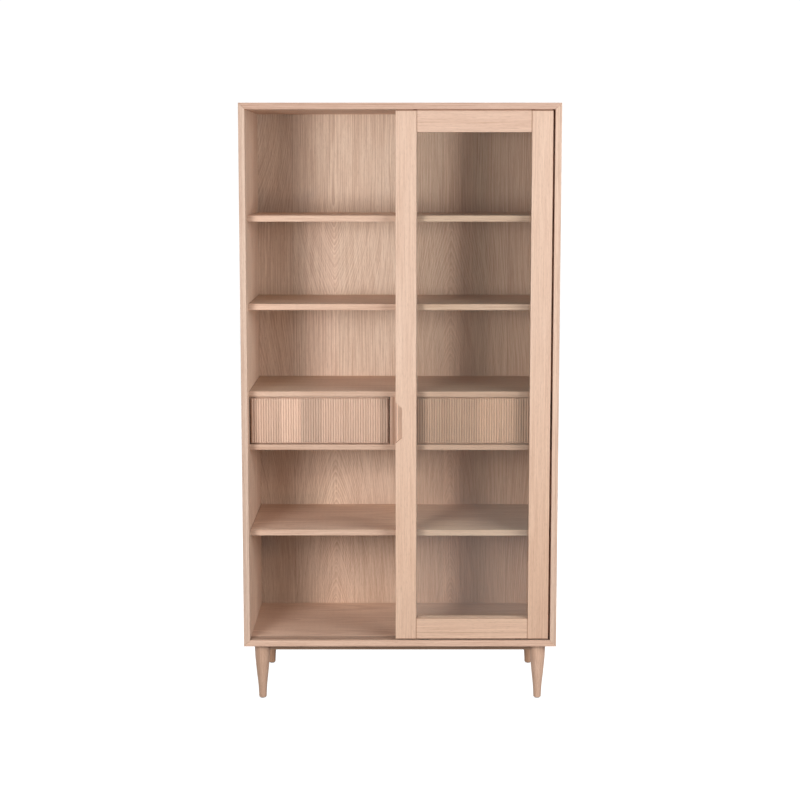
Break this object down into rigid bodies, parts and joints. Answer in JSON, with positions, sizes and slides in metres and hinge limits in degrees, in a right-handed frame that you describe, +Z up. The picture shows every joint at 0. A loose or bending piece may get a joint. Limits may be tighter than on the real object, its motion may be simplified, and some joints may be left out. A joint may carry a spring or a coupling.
{
  "type": "display cabinet",
  "caption": "Tall oak display cabinet on turned legs, with glazed sliding doors over full-width shelves and a pair of reeded drawers at mid height.",
  "frame": {"origin": "centre of the cabinet's width and depth, on the floor under its glides", "axes": "+X to the right as seen from the front, -Y out of the front, +Z up"},
  "size_m": [1, 0.45, 1.9085],
  "materials": {
    "oak_case": "clear matt oil over oak veneer, solid lipped edges",
    "oak_back": "clear matt oil over book-matched oak veneer, grain upright",
    "oak_shelves": "clear matt oil, grain along the shelf",
    "oak_doors": "clear matt oil, grain along each frame piece",
    "oak_reeded": "clear matt oil over upright half-round reeds",
    "oak_drawer_box": "clear lacquer, matt",
    "oak_legs": "clear matt oil over turned oak",
    "oak_base": "clear matt oil",
    "track_oak": "waxed, matt",
    "beech_runners": "waxed, matt",
    "birch_ply": "clear lacquer, matt",
    "glass": "clear float glass, 4 mm, polished",
    "zinc_steel": "zinc plated",
    "roller_nylon": "moulded, matt",
    "glide_nylon": "moulded, matt"
  },
  "bodies": {
    "case": {"case_top": "oak_case", "case_bottom": "oak_case", "case_side_left": "oak_case", "case_side_right": "oak_case", "case_back": "oak_back", "shelf_upper": "oak_shelves", "shelf_middle": "oak_shelves", "shelf_lower": "oak_shelves", "drawer_deck_top": "oak_shelves", "drawer_deck_bottom": "oak_shelves", "drawer_divider": "oak_shelves", "track_top": "track_oak", "track_bottom": "track_oak", "base_rail_front": "oak_base", "base_rail_rear": "oak_base", "leg_front_left": "oak_legs", "leg_front_right": "oak_legs", "leg_rear_left": "oak_legs", "leg_rear_right": "oak_legs", "leg_plate_front_left": "zinc_steel", "leg_plate_front_right": "zinc_steel", "leg_plate_rear_left": "zinc_steel", "leg_plate_rear_right": "zinc_steel", "left_drawer_runner_left": "beech_runners", "left_drawer_runner_right": "beech_runners", "right_drawer_runner_left": "beech_runners", "right_drawer_runner_right": "beech_runners"},
    "front_door": {"front_door_stile_left": "oak_doors", "front_door_stile_right": "oak_doors", "front_door_rail_top": "oak_doors", "front_door_rail_bottom": "oak_doors", "front_door_glass": "glass", "front_door_carrier_left": "zinc_steel", "front_door_carrier_right": "zinc_steel"},
    "rear_door": {"rear_door_stile_left": "oak_doors", "rear_door_stile_right": "oak_doors", "rear_door_rail_top": "oak_doors", "rear_door_rail_bottom": "oak_doors", "rear_door_glass": "glass", "rear_door_carrier_left": "zinc_steel", "rear_door_carrier_right": "zinc_steel"},
    "front_door_roller_left": {"front_door_roller_left": "roller_nylon"},
    "front_door_roller_right": {"front_door_roller_right": "roller_nylon"},
    "rear_door_roller_left": {"rear_door_roller_left": "roller_nylon"},
    "rear_door_roller_right": {"rear_door_roller_right": "roller_nylon"},
    "left_drawer": {"left_drawer_front": "oak_reeded", "left_drawer_side_left": "oak_drawer_box", "left_drawer_side_right": "oak_drawer_box", "left_drawer_back": "oak_drawer_box", "left_drawer_base": "birch_ply"},
    "right_drawer": {"right_drawer_front": "oak_reeded", "right_drawer_side_left": "oak_drawer_box", "right_drawer_side_right": "oak_drawer_box", "right_drawer_back": "oak_drawer_box", "right_drawer_base": "birch_ply"},
    "glide_front_left": {"glide_front_left": "glide_nylon"},
    "glide_front_right": {"glide_front_right": "glide_nylon"},
    "glide_rear_left": {"glide_rear_left": "glide_nylon"},
    "glide_rear_right": {"glide_rear_right": "glide_nylon"}
  },
  "joints": [
    {"name": "front_door_slide", "type": "slide", "parent": "case", "child": "front_door", "axis": [1, 0, 0], "range_m": [-0.466, 0.006]},
    {"name": "rear_door_slide", "type": "slide", "parent": "case", "child": "rear_door", "axis": [1, 0, 0], "range_m": [-0.469, 0.003]},
    {"name": "left_drawer_slide", "type": "slide", "parent": "case", "child": "left_drawer", "axis": [0, -1, 0], "range_m": [0, 0.3]},
    {"name": "right_drawer_slide", "type": "slide", "parent": "case", "child": "right_drawer", "axis": [0, -1, 0], "range_m": [0, 0.004]},
    {"name": "front_door_roller_left_turn", "type": "hinge", "parent": "front_door", "child": "front_door_roller_left", "pos_m": [0.081, -0.2095, 0.2115], "axis": [0, 1, 0], "range_deg": [-2230, 30]},
    {"name": "front_door_roller_right_turn", "type": "hinge", "parent": "front_door", "child": "front_door_roller_right", "pos_m": [0.379, -0.2095, 0.2115], "axis": [0, 1, 0], "range_deg": [-2230, 30]},
    {"name": "rear_door_roller_left_turn", "type": "hinge", "parent": "rear_door", "child": "rear_door_roller_left", "pos_m": [0.084, -0.1851, 0.2115], "axis": [0, 1, 0], "range_deg": [-2245, 20]},
    {"name": "rear_door_roller_right_turn", "type": "hinge", "parent": "rear_door", "child": "rear_door_roller_right", "pos_m": [0.382, -0.1851, 0.2115], "axis": [0, 1, 0], "range_deg": [-2245, 20]},
    {"name": "glide_front_left_turn", "type": "hinge", "parent": "case", "child": "glide_front_left", "pos_m": [-0.445, -0.177, 0.0015], "axis": [0, 0, 1], "continuous": true},
    {"name": "glide_front_right_turn", "type": "hinge", "parent": "case", "child": "glide_front_right", "pos_m": [0.445, -0.177, 0.0015], "axis": [0, 0, 1], "continuous": true},
    {"name": "glide_rear_left_turn", "type": "hinge", "parent": "case", "child": "glide_rear_left", "pos_m": [-0.445, 0.177, 0.0015], "axis": [0, 0, 1], "continuous": true},
    {"name": "glide_rear_right_turn", "type": "hinge", "parent": "case", "child": "glide_rear_right", "pos_m": [0.445, 0.177, 0.0015], "axis": [0, 0, 1], "continuous": true}
  ],
  "couplings": [
    {"joint": "front_door_roller_left_turn", "follows": "front_door_slide", "rad_per_m": 83.333},
    {"joint": "front_door_roller_right_turn", "follows": "front_door_slide", "rad_per_m": 83.333},
    {"joint": "rear_door_roller_left_turn", "follows": "rear_door_slide", "rad_per_m": 83.333},
    {"joint": "rear_door_roller_right_turn", "follows": "rear_door_slide", "rad_per_m": 83.333}
  ]
}
